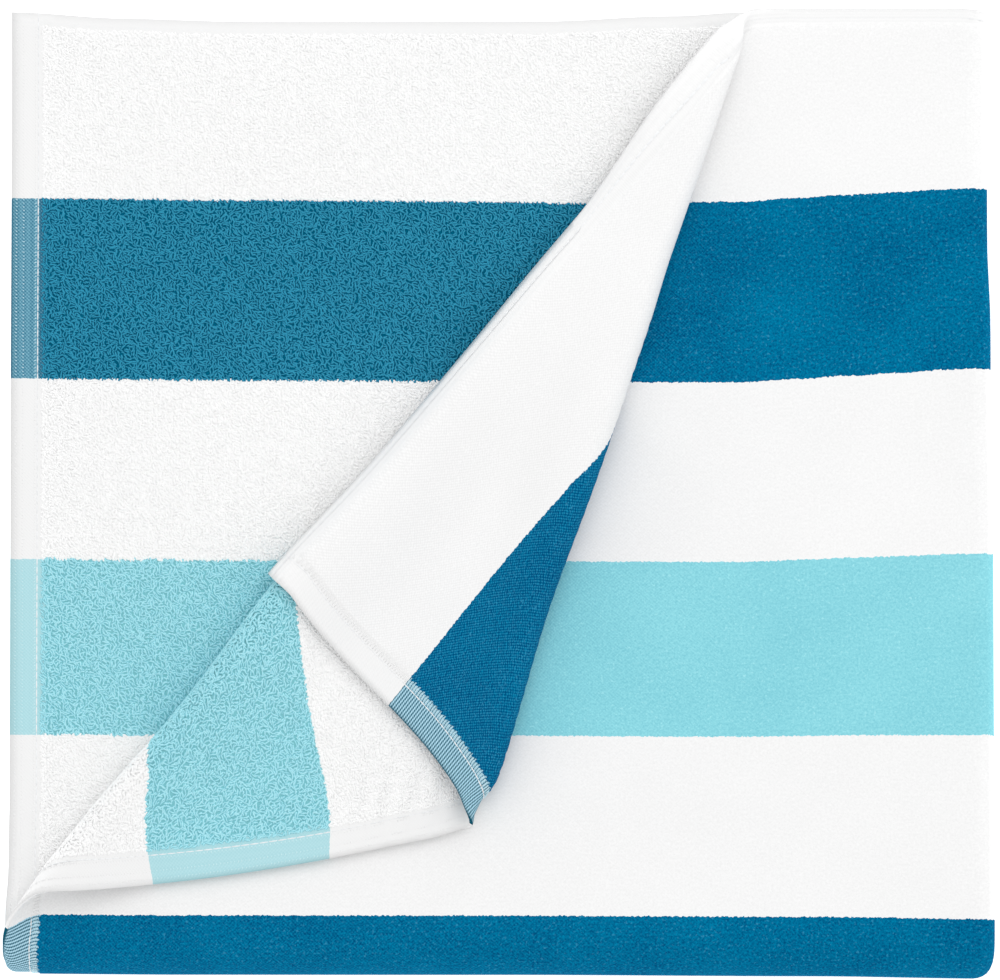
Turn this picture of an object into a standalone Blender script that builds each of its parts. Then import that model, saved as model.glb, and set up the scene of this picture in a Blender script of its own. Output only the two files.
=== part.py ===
"""A striped beach towel, folded square, the loose end of its top layer turned back in a diagonal pleat.

The whole towel is one sheet.  A point of it is named by (u, v, w): u along the towel from the loose end
of the top layer, v across it from the upper selvedge, and w out of its velour face.  The sheet is folded
by functions that each bend space and keep it whole, so both faces come from the same map:
  1. run_at      lays the length back and forth in four layers,
  2. fold_over   turns part of the top layer up and over, once for each crease of the pleat, and tugged
                 and pucker let the pleat lie as cloth does,
  3. bend_double doubles all four layers over along the lower edge,
  4. lie_uneven  lets the stack lie a little out of square.
Metres, +X along the towel, +Y across it, +Z up, seated with its base at z = 0.
"""
from math import cos, pi, radians, sin
from typing import NamedTuple

import bpy
import numpy as np
from mathutils.geometry import delaunay_2d_cdt

MM = 0.001

# The flat cloth
LENGTH = 1524 * MM
WIDTH = 762 * MM
PILE_THICK = 3.0 * MM
HEM_THICK = 1.6 * MM
END_HEM = 13 * MM
SIDE_HEM = 5.5 * MM
HEM_STEP = 1.2 * MM

# The stack
PITCH = 4.4 * MM
FOLD_RADIUS = 3.5 * PITCH
LEFT_EDGE = -190.6 * MM
LEFT_RECESS = 4.5 * MM
EDGE_STAGGER = 0.5 * MM
FLAT_WIDTH = (WIDTH - pi * FOLD_RADIUS) / 2

# The pleat
PLEAT_POINT = 93.4 * MM
TURN_ANGLE = radians(50)
RADIAL_EASE = -0.066


class Crease(NamedTuple):
    """One fold line of the pleat, from its foot on the upper selvedge down towards the loose end."""
    foot: float        # where the line meets the selvedge
    angle: float       # below the towel's length
    radii: tuple       # of the bend at its foot, mid-way and at its far end
    length: float      # over which the radius changes
    slip: float        # cloth past the bend creeps along it
    shrink: float      # cloth past the bend is eased across it
    up: int            # +1 turns the cloth over on top, -1 turns it under


PLEAT = (
    Crease(98.1 * MM, radians(26.15), (3.3 * MM, 11.2 * MM, 3.6 * MM), 320 * MM, 0.03, 0.907, -1),
    Crease(100.4 * MM, radians(49.7), (2.7 * MM, 5.7 * MM, 7.5 * MM), 450 * MM, 0.30, 1.018, 1),
)
SETTLE_REACH = 35 * MM


class Bend(NamedTuple):
    """A run of the section: a straight length, then a half turn."""
    recess: float      # by which the run stops short of the left edge
    heading: int       # +1 to the right, -1 to the left
    level: float       # of the run, in pitches below the top layer
    radius: float      # of the half turn that follows, in pitches
    turn: int          # -1 down at the right or up at the left, +1 the other way


SECTION = (
    Bend(0, 1, 0, 1.5, -1),
    Bend(1, -1, -3, 0.5, -1),
    Bend(1, 1, -2, 0.5, 1),
    Bend(0, -1, -1, 0, 0),
)

# How the stack lies: (position along an edge or across the body, how far the cloth strays), mm
TOP_EDGE = ((-191, 1.0), (-148, -1.1), (-97, -2.0), (0, -1.4), (70, 1.8), (95, 3.2), (113, 2.7), (136, 1.3),
            (156, 0.1), (175, -1.3), (192, -2.5))
BOTTOM_EDGE = ((-192, 0.2), (-120, -0.2), (0, -0.3), (120, -0.8), (192, -1.8))
BODY_RISE = ((-190, 1.3), (-100, 0.6), (0, 0), (40, -1.0), (95, -1.0), (117, 0.5), (136, 1.8),
             (156, 3.0), (175, 4.4), (190, 5.0))
LEFT_SIDE = ((-385, 3.4), (-365, 3.2), (-352, 2.2), (-330, 0.9), (-300, 0.4), (0, -0.4))
RIGHT_SIDE = ((-385, 0.9), (-355, 0.9), (-212, 0.3), (-126, -0.8), (-91, -2.1), (0, -2.1))
TOP_REACH = 90 * MM
BODY_REACH = 280 * MM
BOTTOM_REACH = 232 * MM
SIDE_REACH = 240 * MM
LEFT_CORNER = 5 * MM
RIGHT_CORNER = 2.5 * MM
END_SLIDE = 4.5 * MM
END_SLIDE_WIDTH = 14 * MM
END_SLIDE_SPAN = (280 * MM, 480 * MM)
END_SLIDE_EASE = 60 * MM
SWELL = 0.9 * MM
SWELL_LENGTH = (210 * MM, 170 * MM)
SWELL_PHASE = (1.0, 0.4)


class Tug(NamedTuple):
    """A place on the pleat where its cloth lies a little aside."""
    x: float
    y: float
    reach: float
    across: float
    up: float


TUGS = (
    Tug(-87 * MM, -219 * MM, 40 * MM, -2.2 * MM, 2.1 * MM),    # the flap's corner
    Tug(-8 * MM, -316 * MM, 13 * MM, -2.6 * MM, 2.3 * MM),     # its tip
    Tug(-5 * MM, -307 * MM, 8 * MM, -1.6 * MM, 0),             # the neck of the tip
    Tug(25 * MM, -230 * MM, 42 * MM, -2.0 * MM, 0),            # the fold beside it
    Tug(-134 * MM, -318 * MM, 24 * MM, -3.6 * MM, 0),          # the turned-back stripe, left
    Tug(-69 * MM, -308 * MM, 26 * MM, 3.8 * MM, 0),            # and right
)

# Puckers along the turned-back hem, next to the flap's tip
PUCKER = 0.45 * MM
PUCKER_LENGTH = 12 * MM
PUCKER_SLANT = 0.4
PUCKER_MIDDLE = (10 * MM, 176 * MM)
PUCKER_REACH = (20 * MM, 26 * MM)

# The mesh
COARSE = 60 * MM
RULING_STEP = 16 * MM
RULING_SAMPLE = 1 * MM
RULING_SPAN = (-30 * MM, 620 * MM)
SNAP = 1.6 * MM
MERGE = 0.05 * MM
ARC_STEPS = 6
CREASE_STEPS = 7
SETTLE_MARKS = (0.3, 0.65, 1.0)
CORNER_SHARES = (0.1, 0.3, 0.6, 1)
CLEARANCE = 6 * MM


def ease(x):
    """A smooth step from 0 to 1."""
    x = np.clip(x, 0, 1)
    return x * x * (3 - 2 * x)


def half_thickness(u, v):
    """Half the cloth's thickness: pile inside, thinner hems along all four edges."""
    from_end = np.minimum(u, LENGTH - u) - END_HEM
    from_side = np.minimum(v, WIDTH - v) - SIDE_HEM
    inside = ease(np.minimum(from_end, from_side) / HEM_STEP)
    return (HEM_THICK + (PILE_THICK - HEM_THICK) * inside) / 2


def run_length():
    """The straight length of a full run, from the length that the four runs and the half turns share."""
    turned = sum(pi * bend.radius * PITCH for bend in SECTION)
    recessed = sum(bend.recess for bend in SECTION) * LEFT_RECESS
    return (LENGTH + recessed - turned) / len(SECTION)


def run_marks():
    """Where along the cloth each run begins and ends."""
    marks = []
    start = 0.0
    for bend in SECTION:
        end = start + run_length() - bend.recess * LEFT_RECESS
        marks.append((start, end))
        start = end + pi * bend.radius * PITCH
    return marks


def run_at(u, w):
    """The section through the four layers: x, height above the top layer, and the layer's own level."""
    right_edge = LEFT_EDGE + run_length()
    x = np.zeros_like(u)
    height = np.zeros_like(u)
    level = np.zeros_like(u)
    for bend, (start, end) in zip(SECTION, run_marks()):
        face = 1 if bend.level % 2 == 0 else -1
        here = (u >= start) & (u <= end)
        begin = LEFT_EDGE + bend.recess * LEFT_RECESS if bend.heading > 0 else right_edge
        x[here] = (begin + bend.heading * (u - start))[here]
        height[here] = (bend.level * PITCH + face * w)[here]
        level[here] = bend.level * PITCH
        radius = bend.radius * PITCH
        if radius == 0:
            continue
        here = (u > end) & (u < end + pi * radius)
        stop = begin + bend.heading * (end - start)
        climb = 1 if (bend.heading > 0) == (bend.turn > 0) else -1
        angle = (u - end) / radius
        reach = radius - climb * face * w
        centre = bend.level * PITCH + climb * radius
        x[here] = (stop + bend.heading * reach * np.sin(angle))[here]
        height[here] = (centre - climb * reach * np.cos(angle))[here]
        level[here] = (centre - climb * radius * np.cos(angle))[here]
    return x, height, level


def ease_radially(x, y, inverse=False):
    """The pleat's cloth is drawn in or out along lines from its point."""
    across = PLEAT_POINT - x
    distance = np.hypot(across, y)
    angle = np.arctan2(-y, across)
    share = np.sin(pi * np.clip(angle / TURN_ANGLE, 0, 1)) ** 2
    scale = 1 + RADIAL_EASE * share
    if inverse:
        scale = 1 / scale
    distance = distance * scale
    return PLEAT_POINT - distance * np.cos(angle), -distance * np.sin(angle)


def crease_axes(crease):
    """Unit vectors along a crease, down to the left, and across it, up to the left."""
    along = np.array([-cos(crease.angle), -sin(crease.angle)])
    across = np.array([-sin(crease.angle), cos(crease.angle)])
    return along, across


def crease_radius(crease, distance):
    """The bend's radius at a distance along its crease."""
    t = np.clip(distance / crease.length, 0, 1)
    foot, middle, far = crease.radii
    return foot * (1 - t) ** 2 + 2 * middle * t * (1 - t) + far * t * t


def fold_over(x, y, height, crease):
    """Turn everything past a crease over, round a half cylinder whose radius varies along it."""
    along, across = crease_axes(crease)
    distance = (x - crease.foot) * along[0] + y * along[1]
    offset = (x - crease.foot) * across[0] + y * across[1]
    radius = crease_radius(crease, distance)
    travelled = offset + pi * radius / 2
    angle = np.clip(travelled / radius, 0, pi)
    past = np.maximum(travelled - pi * radius, 0)
    before = np.minimum(travelled, 0)
    reach = radius - crease.up * height
    offset = before - pi * radius / 2 + reach * np.sin(angle) - crease.shrink * past
    settled = (2 * radius - PITCH) * ease(past / SETTLE_REACH)
    rise = radius - reach * np.cos(angle) - settled
    distance = distance + crease.slip * past
    x = crease.foot + distance * along[0] + offset * across[0]
    y = distance * along[1] + offset * across[1]
    return x, y, crease.up * rise


def tugged(x, y):
    """Let the pleat lie a little aside here and there."""
    pulls = [(np.exp(-((x - tug.x) ** 2 + (y - tug.y) ** 2) / tug.reach ** 2), tug) for tug in TUGS]
    return x + sum(pull * tug.across for pull, tug in pulls), y + sum(pull * tug.up for pull, tug in pulls)


def pucker(u, v):
    """The height of the puckers along the turned-back hem."""
    along = (u - PUCKER_MIDDLE[0]) / PUCKER_REACH[0]
    across = (v - PUCKER_MIDDLE[1]) / PUCKER_REACH[1]
    ripple = np.sin(2 * pi * (v + PUCKER_SLANT * u) / PUCKER_LENGTH)
    return PUCKER * np.exp(-along ** 2 - across ** 2) * ripple


def corner_squeeze(x):
    """How much of the doubled edge's reach is left where its two corners are rounded off."""
    cut = np.zeros_like(x)
    right_edge = LEFT_EDGE + run_length() + SECTION[0].radius * PITCH + PILE_THICK / 2
    for distance, size in ((x - LEFT_EDGE, LEFT_CORNER), (right_edge - x, RIGHT_CORNER)):
        inward = np.clip(size - distance, 0, size)
        cut = np.maximum(cut, size - np.sqrt(size * size - inward * inward))
    return 1 - cut / FOLD_RADIUS


def bend_double(x, y, height, level):
    """Double the stack over along its lower edge; below it, inner layers are eased to the same free edges."""
    inset = -level / PITCH * EDGE_STAGGER
    radius = FOLD_RADIUS + level
    above = FLAT_WIDTH - inset
    squeeze = (above + pi * radius) / (WIDTH - above)
    travelled = inset + np.minimum(-y, above) + np.maximum(-y - above, 0) * squeeze
    at_end = ease((LEFT_EDGE + END_SLIDE_WIDTH - x) / END_SLIDE_WIDTH)
    near_fold = (ease((travelled - END_SLIDE_SPAN[0]) / END_SLIDE_EASE)
                 * ease((END_SLIDE_SPAN[1] - travelled) / END_SLIDE_EASE))
    travelled = travelled + END_SLIDE * at_end * near_fold
    angle = np.clip((travelled - FLAT_WIDTH) / radius, 0, pi)
    beyond = np.maximum(travelled - FLAT_WIDTH - pi * radius, 0)
    outer = FOLD_RADIUS + height
    reach = outer * np.sin(angle) * corner_squeeze(x)
    y = -np.minimum(travelled, FLAT_WIDTH) - reach + beyond
    z = FOLD_RADIUS + PILE_THICK / 2 + outer * np.cos(angle)
    return y, z


def stray(table, position):
    """How far an edge strays, eased between the rows of its table."""
    places = [row[0] * MM for row in table]
    amounts = [row[1] * MM for row in table]
    position = np.clip(position, places[0], places[-1])
    strayed = np.zeros_like(position)
    for left, right, low, high in zip(places, places[1:], amounts, amounts[1:]):
        here = (position >= left) & (position <= right)
        strayed[here] = (low + (high - low) * ease((position - left) / (right - left)))[here]
    return strayed


def lie_uneven(x, y, z):
    """Let the edges stray and the layers swell a little; the base stays flat."""
    towards_top = ease(1 + y / TOP_REACH)
    upper_body = ease(1 + (y + TOP_REACH) / BODY_REACH)
    towards_bottom = ease(1 - (FLAT_WIDTH + FOLD_RADIUS + y) / BOTTOM_REACH)
    towards_left = ease(0.5 - x / SIDE_REACH)
    towards_right = ease(0.5 + x / SIDE_REACH)
    rise = (stray(BODY_RISE, x) * upper_body + stray(TOP_EDGE, x) * towards_top
            + stray(BOTTOM_EDGE, x) * towards_bottom)
    shift = stray(RIGHT_SIDE, y) * towards_right - stray(LEFT_SIDE, y) * towards_left
    waves = [np.sin(2 * pi * place / length + phase)
             for place, length, phase in zip((x, y), SWELL_LENGTH, SWELL_PHASE)]
    lift = SWELL * waves[0] * waves[1] * z / (2 * FOLD_RADIUS)
    return x + shift, y + rise, z + lift


def cloth_point(u, v, w):
    """Where a point of the flat cloth ends up in the folded towel."""
    x, height, level = run_at(u, w)
    y = -v
    on_top = u <= run_marks()[0][1]
    px, py = ease_radially(x[on_top], y[on_top])
    ph = height[on_top]
    for crease in PLEAT:
        px, py, ph = fold_over(px, py, ph, crease)
    x[on_top], y[on_top] = tugged(px, py)
    height[on_top] = ph + pucker(u[on_top], v[on_top])
    y, z = bend_double(x, y, height, level)
    return lie_uneven(x, y, z)


def spread(start, end, step):
    """Evenly spaced places from start to end, no further apart than step."""
    return list(np.linspace(start, end, max(2, int(np.ceil((end - start) / step)) + 1)))


def columns():
    """Places along the length: hems, coarse along the runs, close round the half turns."""
    places = [END_HEM, END_HEM + HEM_STEP, LENGTH - END_HEM - HEM_STEP, LENGTH - END_HEM]
    for bend, (start, end) in zip(SECTION, run_marks()):
        places += spread(start, end, COARSE)
        if bend.radius:
            places += list(np.linspace(end, end + pi * bend.radius * PITCH, ARC_STEPS + 1))[1:-1]
    return sorted(places)


def rows():
    """Places across the width: hems, coarse on the flats, close round the doubled edge."""
    places = [SIDE_HEM, SIDE_HEM + HEM_STEP, WIDTH - SIDE_HEM - HEM_STEP, WIDTH - SIDE_HEM]
    places += spread(0, FLAT_WIDTH, COARSE)
    places += list(np.linspace(FLAT_WIDTH, WIDTH - FLAT_WIDTH, 2 * ARC_STEPS + 1))[1:-1]
    places += spread(WIDTH - FLAT_WIDTH, WIDTH, COARSE)
    return sorted(places)


def corner_points():
    """Extra points of the top layer where the doubled edge's left corner is rounded off."""
    bent = [v for v in rows() if FLAT_WIDTH < v < WIDTH - FLAT_WIDTH]
    return [(share * LEFT_CORNER, v) for share in CORNER_SHARES for v in bent]


def crease_band(x, y, crease):
    """How far a point is across a crease, and the half width of the cloth that bends there."""
    along, across = crease_axes(crease)
    distance = (x - crease.foot) * along[0] + y * along[1]
    offset = (x - crease.foot) * across[0] + y * across[1]
    return offset, pi * crease_radius(crease, distance) / 2


def ruling(crease, share, extra):
    """A line of flat cloth that stays straight in a crease: share of the half bend plus extra past it."""
    along, across = crease_axes(crease)
    distance = np.arange(*RULING_SPAN, RULING_SAMPLE)
    offset = share * pi * crease_radius(crease, distance) / 2 + extra
    x = crease.foot + distance * along[0] + offset * across[0]
    y = distance * along[1] + offset * across[1]
    free = np.ones_like(x, dtype=bool)
    if crease.up > 0:
        other, half = crease_band(x, y, PLEAT[0])
        free = other < -half
    x, y = ease_radially(x, y, inverse=True)
    free &= (x > LEFT_EDGE) & (y < 0)
    points = np.column_stack([x, y])[free]
    if len(points) < 2:
        return []
    chosen = np.linspace(0, len(points) - 1, max(2, int(len(points) * RULING_SAMPLE / RULING_STEP) + 1))
    points = points[np.round(chosen).astype(int)]
    points[points[:, 0] < LEFT_EDGE + SNAP, 0] = LEFT_EDGE
    points[points[:, 1] > -SNAP, 1] = 0
    return [(px - LEFT_EDGE, -py) for px, py in points]


def rulings():
    """Every ruling of both creases: round the bend, and where the cloth past it settles."""
    lines = []
    for crease in PLEAT:
        for share in np.linspace(-1, 1, CREASE_STEPS):
            lines.append(ruling(crease, share, 0))
        for mark in SETTLE_MARKS:
            lines.append(ruling(crease, 1, mark * SETTLE_REACH))
    return [line for line in lines if len(line) > 1]


def in_pleat(u, v):
    """Whether a point of flat cloth lies in or beside a bend of the pleat."""
    x, y = ease_radially(np.array([u + LEFT_EDGE]), np.array([-v]))
    for crease in PLEAT:
        offset, half = crease_band(x, y, crease)
        if -half[0] - CLEARANCE < offset[0] < half[0] + SETTLE_REACH + CLEARANCE:
            return True
    return False


def hem_lines():
    """Lines that the mesh keeps: the outline and both edges of each hem."""
    lines = []
    for u in (0, END_HEM, END_HEM + HEM_STEP, LENGTH - END_HEM - HEM_STEP, LENGTH - END_HEM, LENGTH):
        lines.append([(u, v) for v in spread(0, WIDTH, COARSE)])
    for v in (0, SIDE_HEM, SIDE_HEM + HEM_STEP, WIDTH - SIDE_HEM - HEM_STEP, WIDTH - SIDE_HEM, WIDTH):
        lines.append([(u, v) for u in spread(0, LENGTH, COARSE)])
    return lines


def flat_mesh():
    """Triangulate the flat cloth: a grid that follows the folds, and the rulings of the pleat."""
    top_run = run_marks()[0][1]
    verts = corner_points()
    edges = []
    for line in hem_lines() + rulings():
        first = len(verts)
        verts += line
        edges += [(i, i + 1) for i in range(first, len(verts) - 1)]
    for u in columns():
        for v in rows():
            if u < top_run and v < FLAT_WIDTH and in_pleat(u, v):
                continue
            verts.append((u, v))
    plan = [(u, -v) for u, v in verts]
    result = delaunay_2d_cdt(plan, edges, [], 0, MERGE)
    flat = np.array([tuple(point) for point in result[0]])
    u = np.clip(flat[:, 0], 0, LENGTH)
    v = np.clip(-flat[:, 1], 0, WIDTH)
    return u, v, [tuple(face) for face in result[2]]


def rim_edges(faces):
    """The directed edges that only one triangle uses: the outline of the cloth."""
    directed = {(f[i], f[(i + 1) % 3]) for f in faces for i in range(3)}
    return [(a, b) for a, b in sorted(directed) if (b, a) not in directed]


def seated(points):
    """Move the towel so that the middle of its footprint is the origin and its base is at zero."""
    low = points.min(axis=0)
    high = points.max(axis=0)
    return points - np.array([(low[0] + high[0]) / 2, (low[1] + high[1]) / 2, low[2]])


def fabric(name, colour):
    """A matt cloth material."""
    material = bpy.data.materials.new(name)
    material.use_nodes = True
    shader = material.node_tree.nodes["Principled BSDF"]
    shader.inputs["Base Color"].default_value = (*colour, 1)
    shader.inputs["Roughness"].default_value = 0.95
    return material


def build_towel():
    """The towel as one closed solid: velour face, terry face and the rim that joins them."""
    u, v, faces = flat_mesh()
    half = half_thickness(u, v)
    velour = np.column_stack(cloth_point(u, v, half))
    terry = np.column_stack(cloth_point(u, v, -half))
    points = seated(np.vstack([velour, terry]))
    count = len(u)
    shell = list(faces)
    shell += [tuple(count + i for i in reversed(face)) for face in faces]
    for a, b in rim_edges(faces):
        shell += [(b, a, count + a), (b, count + a, count + b)]
    mesh = bpy.data.meshes.new("towel")
    mesh.from_pydata(points.tolist(), [], shell)
    mesh.validate()
    mesh.update()
    towel = bpy.data.objects.new("towel", mesh)
    bpy.context.scene.collection.objects.link(towel)
    mesh.materials.append(fabric("towel_cloth", (0.55, 0.78, 0.85)))
    return towel


for leftover in list(bpy.data.objects):
    bpy.data.objects.remove(leftover)
build_towel()
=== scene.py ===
"""Looks of the folded beach towel: velour and terry pile, flat hems, stitching, stripes, floor and light.

A point of the flat cloth is (u, v, w): u along the towel from the loose end of its top layer, v across it
from the upper selvedge, w out of its velour face.  Every piece is laid out on the flat cloth and carried
by cloth_point, the same folding that shapes the CAD solid.  Metres throughout.
"""
from math import cos, pi, radians, sin
from typing import NamedTuple

import bpy
import numpy as np
from mathutils.geometry import delaunay_2d_cdt
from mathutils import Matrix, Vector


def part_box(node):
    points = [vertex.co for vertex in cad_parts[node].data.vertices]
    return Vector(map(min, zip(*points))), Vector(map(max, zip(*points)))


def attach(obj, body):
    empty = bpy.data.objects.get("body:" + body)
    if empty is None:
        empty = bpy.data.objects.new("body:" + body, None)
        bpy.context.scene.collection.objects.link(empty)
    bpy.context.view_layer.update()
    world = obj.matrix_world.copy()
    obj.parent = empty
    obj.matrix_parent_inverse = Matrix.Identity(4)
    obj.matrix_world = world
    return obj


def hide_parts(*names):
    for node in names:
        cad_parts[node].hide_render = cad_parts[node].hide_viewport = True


MM = 0.001

# The flat cloth
LENGTH = 1524 * MM
WIDTH = 762 * MM
PILE_THICK = 3.0 * MM
HEM_THICK = 1.6 * MM
END_HEM = 13 * MM
SIDE_HEM = 5.5 * MM
HEM_STEP = 1.2 * MM

# The stack
PITCH = 4.4 * MM
FOLD_RADIUS = 3.5 * PITCH
LEFT_EDGE = -190.6 * MM
LEFT_RECESS = 4.5 * MM
EDGE_STAGGER = 0.5 * MM
FLAT_WIDTH = (WIDTH - pi * FOLD_RADIUS) / 2

# The pleat
PLEAT_POINT = 93.4 * MM
TURN_ANGLE = radians(50)
RADIAL_EASE = -0.066


class Crease(NamedTuple):
    """One fold line of the pleat, from its foot on the upper selvedge down towards the loose end."""
    foot: float        # where the line meets the selvedge
    angle: float       # below the towel's length
    radii: tuple       # of the bend at its foot, mid-way and at its far end
    length: float      # over which the radius changes
    slip: float        # cloth past the bend creeps along it
    shrink: float      # cloth past the bend is eased across it
    up: int            # +1 turns the cloth over on top, -1 turns it under


PLEAT = (
    Crease(98.1 * MM, radians(26.15), (3.3 * MM, 11.2 * MM, 3.6 * MM), 320 * MM, 0.03, 0.907, -1),
    Crease(100.4 * MM, radians(49.7), (2.7 * MM, 5.7 * MM, 7.5 * MM), 450 * MM, 0.30, 1.018, 1),
)
SETTLE_REACH = 35 * MM


class Bend(NamedTuple):
    """A run of the section: a straight length, then a half turn."""
    recess: float      # by which the run stops short of the left edge
    heading: int       # +1 to the right, -1 to the left
    level: float       # of the run, in pitches below the top layer
    radius: float      # of the half turn that follows, in pitches
    turn: int          # -1 down at the right or up at the left, +1 the other way


SECTION = (
    Bend(0, 1, 0, 1.5, -1),
    Bend(1, -1, -3, 0.5, -1),
    Bend(1, 1, -2, 0.5, 1),
    Bend(0, -1, -1, 0, 0),
)

# How the stack lies: (position along an edge or across the body, how far the cloth strays), mm
TOP_EDGE = ((-191, 1.0), (-148, -1.1), (-97, -2.0), (0, -1.4), (70, 1.8), (95, 3.2), (113, 2.7), (136, 1.3),
            (156, 0.1), (175, -1.3), (192, -2.5))
BOTTOM_EDGE = ((-192, 0.2), (-120, -0.2), (0, -0.3), (120, -0.8), (192, -1.8))
BODY_RISE = ((-190, 1.3), (-100, 0.6), (0, 0), (40, -1.0), (95, -1.0), (117, 0.5), (136, 1.8),
             (156, 3.0), (175, 4.4), (190, 5.0))
LEFT_SIDE = ((-385, 3.4), (-365, 3.2), (-352, 2.2), (-330, 0.9), (-300, 0.4), (0, -0.4))
RIGHT_SIDE = ((-385, 0.9), (-355, 0.9), (-212, 0.3), (-126, -0.8), (-91, -2.1), (0, -2.1))
TOP_REACH = 90 * MM
BODY_REACH = 280 * MM
BOTTOM_REACH = 232 * MM
SIDE_REACH = 240 * MM
LEFT_CORNER = 5 * MM
RIGHT_CORNER = 2.5 * MM
END_SLIDE = 4.5 * MM
END_SLIDE_WIDTH = 14 * MM
END_SLIDE_SPAN = (280 * MM, 480 * MM)
END_SLIDE_EASE = 60 * MM
SWELL = 0.9 * MM
SWELL_LENGTH = (210 * MM, 170 * MM)
SWELL_PHASE = (1.0, 0.4)


class Tug(NamedTuple):
    """A place on the pleat where its cloth lies a little aside."""
    x: float
    y: float
    reach: float
    across: float
    up: float


TUGS = (
    Tug(-87 * MM, -219 * MM, 40 * MM, -2.2 * MM, 2.1 * MM),    # the flap's corner
    Tug(-8 * MM, -316 * MM, 13 * MM, -2.6 * MM, 2.3 * MM),     # its tip
    Tug(-5 * MM, -307 * MM, 8 * MM, -1.6 * MM, 0),             # the neck of the tip
    Tug(25 * MM, -230 * MM, 42 * MM, -2.0 * MM, 0),            # the fold beside it
    Tug(-134 * MM, -318 * MM, 24 * MM, -3.6 * MM, 0),          # the turned-back stripe, left
    Tug(-69 * MM, -308 * MM, 26 * MM, 3.8 * MM, 0),            # and right
)

# Puckers along the turned-back hem, next to the flap's tip
PUCKER = 0.45 * MM
PUCKER_LENGTH = 12 * MM
PUCKER_SLANT = 0.4
PUCKER_MIDDLE = (10 * MM, 176 * MM)
PUCKER_REACH = (20 * MM, 26 * MM)


class Stripe(NamedTuple):
    """A woven stripe and its two edges, from the nearer selvedge."""
    start: float
    stop: float
    colour: str


# Across the width, the same from both selvedges inwards; the rest is white
STRIPES = (
    Stripe(71.6 * MM, 141.6 * MM, "blue"),
    Stripe(211.6 * MM, 279.7 * MM, "aqua"),
    Stripe(349.7 * MM, WIDTH - 349.7 * MM, "blue"),
)


class Grain(NamedTuple):
    """A surface's grain on one colour of stripe, from its darkest to its lightest."""
    dark: tuple
    light: tuple


VELOUR_GRAIN = {
    "white": Grain((0.845, 0.845, 0.845), (0.915, 0.915, 0.915)),
    "blue": Grain((0.0, 0.072, 0.190), (0.0, 0.215, 0.400)),
    "aqua": Grain((0.205, 0.580, 0.670), (0.300, 0.725, 0.795)),
}
# Colours of the pale tufts and of the painted highlights on the velour's dots
TUFT_AND_HIGHLIGHT_COLOURS = {
    "white": (0.93, 0.93, 0.93),
    "blue": (0.035, 0.265, 0.450),
    "aqua": (0.370, 0.780, 0.840),
}
# The loops' spread from dark to light is mostly painted shading, light along each loop's top and dark down
# its flanks; the rest is each loop's own tone
LOOP_TONE_AND_SHADING = {
    "white": Grain((0.98, 0.98, 0.98), (0.99, 0.99, 0.99)),
    "blue": Grain((0.0, 0.070, 0.150), (0.042, 0.360, 0.545)),
    "aqua": Grain((0.160, 0.530, 0.620), (0.490, 0.880, 0.960)),
}
# The terry ground's colours, set darker than the loops as painted shade of the pile
GROUND_TONE_AND_SHADE = {
    "white": Grain((0.97, 0.97, 0.97), (0.98, 0.98, 0.98)),
    "blue": Grain((0.0, 0.090, 0.180), (0.0, 0.150, 0.250)),
    "aqua": Grain((0.200, 0.560, 0.620), (0.280, 0.640, 0.700)),
}
RIB_GRAIN = {
    "white": Grain((0.87, 0.87, 0.87), (0.89, 0.89, 0.89)),
    "blue": Grain((0.006, 0.095, 0.150), (0.480, 0.760, 0.900)),
    "aqua": Grain((0.360, 0.650, 0.700), (0.520, 0.760, 0.800)),
}
TWILL_GRAIN = {
    "white": Grain((0.86, 0.86, 0.86), (0.87, 0.87, 0.87)),
    "blue": Grain((0.025, 0.145, 0.240), (0.220, 0.480, 0.600)),
    "aqua": Grain((0.400, 0.680, 0.730), (0.480, 0.740, 0.790)),
}
FLOAT_GRAIN = {
    "white": Grain((0.86, 0.86, 0.86), (0.89, 0.89, 0.89)),
    "blue": Grain((0.350, 0.640, 0.760), (0.700, 0.860, 0.920)),
    "aqua": Grain((0.520, 0.780, 0.820), (0.650, 0.850, 0.880)),
}
THREAD_COLOUR = (0.88, 0.89, 0.90)
FLOOR_COLOUR = (0.95, 0.95, 0.95)

# Rows of the velour, which show through more and more towards the loose end and the upper selvedge; there the
# pile is also a little darker and its dots carry painted highlights
PILE_ROW = 1.5 * MM
WEAVE_SHOWS_ALONG = (300 * MM, 120 * MM)
WEAVE_SHOWS_ACROSS = (300 * MM, 200 * MM)

# Terry loops
GROUND = 0.7 * MM                    # from the cloth's middle to the terry face's woven ground
LOOP_PITCH = (1.14 * MM, 0.95 * MM)
LOOP_LENGTH = 2.1 * MM
LOOP_RADIUS = 0.43 * MM
LOOP_BASE = 0.6 * MM                 # from the cloth's middle to a loop's feet
LOOP_HEIGHT = 0.32 * MM
LOOP_BOW = 0.4 * MM
LOOP_LEAN = radians(-45)
LOOP_SWIRL = (7.1 * MM, 5.3 * MM)
LOOP_SPREAD = 0.35                   # radians by which neighbours differ
LOOP_STRAY = 0.3                     # of the pitch
LOOP_START = 12.6 * MM
LOOP_REACH = 10 * MM                 # past the start of the doubled edge
UNDER_FLAP = 10 * MM
LOOPS_PER_PIECE = 14000
LOOP_RINGS = (-0.29, 0.0, 0.29)
LOOP_SEED = 7

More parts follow.
